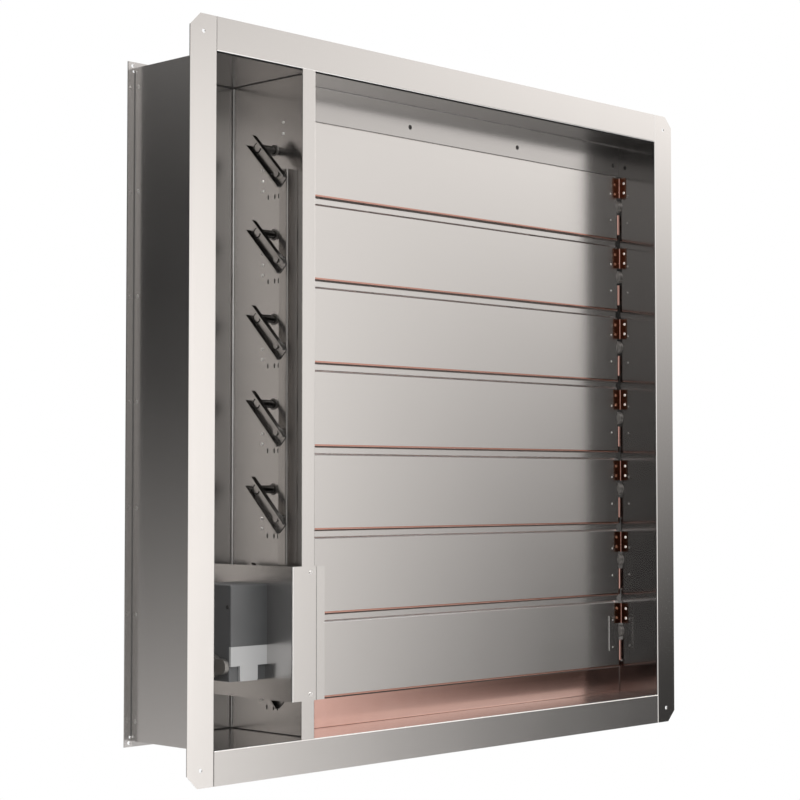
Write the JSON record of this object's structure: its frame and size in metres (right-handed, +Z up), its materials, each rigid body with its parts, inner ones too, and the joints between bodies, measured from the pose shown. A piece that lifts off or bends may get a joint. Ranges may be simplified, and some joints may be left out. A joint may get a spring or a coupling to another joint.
{
  "type": "fire damper",
  "caption": "Flanged rectangular fire damper: a folded steel casing whose linked, overlapping blades close an airway, driven by cranks, a link bar and an actuator in a side chamber.",
  "frame": {"origin": "centre of the front flange's bolt pattern, on the front face of the flange", "axes": "+X to the right seen from the front, along the blades; +Y from the front flange to the rear; +Z up"},
  "size_m": [0.918, 0.1525, 0.88],
  "materials": {
    "stainless": "satin",
    "copper_seal": "polished",
    "turned_steel": "turned",
    "link_strip": "satin",
    "linkage_steel": "dark zinc",
    "actuator_dark": "moulded",
    "actuator_light": "moulded"
  },
  "bodies": {
    "casing": {"left_side_panel": "stainless", "right_side_panel": "stainless", "top_panel": "stainless", "bottom_panel": "stainless", "chamber_back_plate": "stainless", "partition": "stainless", "top_closure_plate": "stainless", "bottom_stop_plate": "copper_seal", "right_front_jamb_seals": "copper_seal", "left_front_jamb_seals": "copper_seal", "right_back_jamb_seals": "copper_seal", "left_back_jamb_seals": "copper_seal", "right_shaft_bushes": "turned_steel", "left_shaft_bushes": "turned_steel", "actuator_bracket": "stainless", "bracket_screws": "turned_steel", "actuator_housing": "actuator_dark", "actuator_gear_case": "actuator_light"},
    "blade_unit_1": {"blade_1": "stainless", "blade_1_lip_seal": "copper_seal", "blade_1_drive_shaft": "turned_steel", "blade_1_pivot_shaft": "turned_steel", "crank_1": "linkage_steel"},
    "blade_unit_2": {"blade_2": "stainless", "blade_2_lip_seal": "copper_seal", "blade_2_drive_shaft": "turned_steel", "blade_2_pivot_shaft": "turned_steel", "crank_2": "linkage_steel"},
    "blade_unit_3": {"blade_3": "stainless", "blade_3_lip_seal": "copper_seal", "blade_3_drive_shaft": "turned_steel", "blade_3_pivot_shaft": "turned_steel", "crank_3": "linkage_steel"},
    "blade_unit_4": {"blade_4": "stainless", "blade_4_lip_seal": "copper_seal", "blade_4_drive_shaft": "turned_steel", "blade_4_pivot_shaft": "turned_steel", "crank_4": "linkage_steel"},
    "blade_unit_5": {"blade_5": "stainless", "blade_5_lip_seal": "copper_seal", "blade_5_drive_shaft": "turned_steel", "blade_5_pivot_shaft": "turned_steel", "crank_5": "linkage_steel"},
    "blade_unit_6": {"blade_6": "stainless", "blade_6_lip_seal": "copper_seal", "blade_6_drive_shaft": "turned_steel", "blade_6_pivot_shaft": "turned_steel", "crank_6": "linkage_steel"},
    "blade_unit_7": {"blade_7": "stainless", "blade_7_lip_seal": "copper_seal", "blade_7_drive_shaft": "turned_steel", "blade_7_pivot_shaft": "turned_steel", "crank_7": "linkage_steel", "actuator_clamp": "turned_steel"},
    "link": {"link_bar": "link_strip"}
  },
  "joints": [
    {"name": "blade_1_turn", "type": "hinge", "parent": "casing", "child": "blade_unit_1", "pos_m": [0, 0.0725, 0.312], "axis": [-1, 0, 0], "range_deg": [0, 90]},
    {"name": "blade_2_turn", "type": "hinge", "parent": "casing", "child": "blade_unit_2", "pos_m": [0, 0.0725, 0.208], "axis": [-1, 0, 0], "range_deg": [0, 90]},
    {"name": "blade_3_turn", "type": "hinge", "parent": "casing", "child": "blade_unit_3", "pos_m": [0, 0.0725, 0.104], "axis": [-1, 0, 0], "range_deg": [0, 90]},
    {"name": "blade_4_turn", "type": "hinge", "parent": "casing", "child": "blade_unit_4", "pos_m": [0, 0.0725, 0], "axis": [-1, 0, 0], "range_deg": [0, 90]},
    {"name": "blade_5_turn", "type": "hinge", "parent": "casing", "child": "blade_unit_5", "pos_m": [0, 0.0725, -0.104], "axis": [-1, 0, 0], "range_deg": [0, 90]},
    {"name": "blade_6_turn", "type": "hinge", "parent": "casing", "child": "blade_unit_6", "pos_m": [0, 0.0725, -0.208], "axis": [-1, 0, 0], "range_deg": [0, 90]},
    {"name": "blade_7_turn", "type": "hinge", "parent": "casing", "child": "blade_unit_7", "pos_m": [0, 0.0725, -0.312], "axis": [-1, 0, 0], "range_deg": [0, 90]},
    {"name": "link_swing", "type": "hinge", "parent": "blade_unit_7", "child": "link", "pos_m": [-0.27955, 0.03714, -0.34736], "axis": [-1, 0, 0], "range_deg": [-90, 0]}
  ],
  "couplings": [
    {"joint": "blade_1_turn", "follows": "blade_7_turn", "ratio": 1},
    {"joint": "blade_2_turn", "follows": "blade_7_turn", "ratio": 1},
    {"joint": "blade_3_turn", "follows": "blade_7_turn", "ratio": 1},
    {"joint": "blade_4_turn", "follows": "blade_7_turn", "ratio": 1},
    {"joint": "blade_5_turn", "follows": "blade_7_turn", "ratio": 1},
    {"joint": "blade_6_turn", "follows": "blade_7_turn", "ratio": 1},
    {"joint": "link_swing", "follows": "blade_7_turn", "ratio": -1}
  ]
}
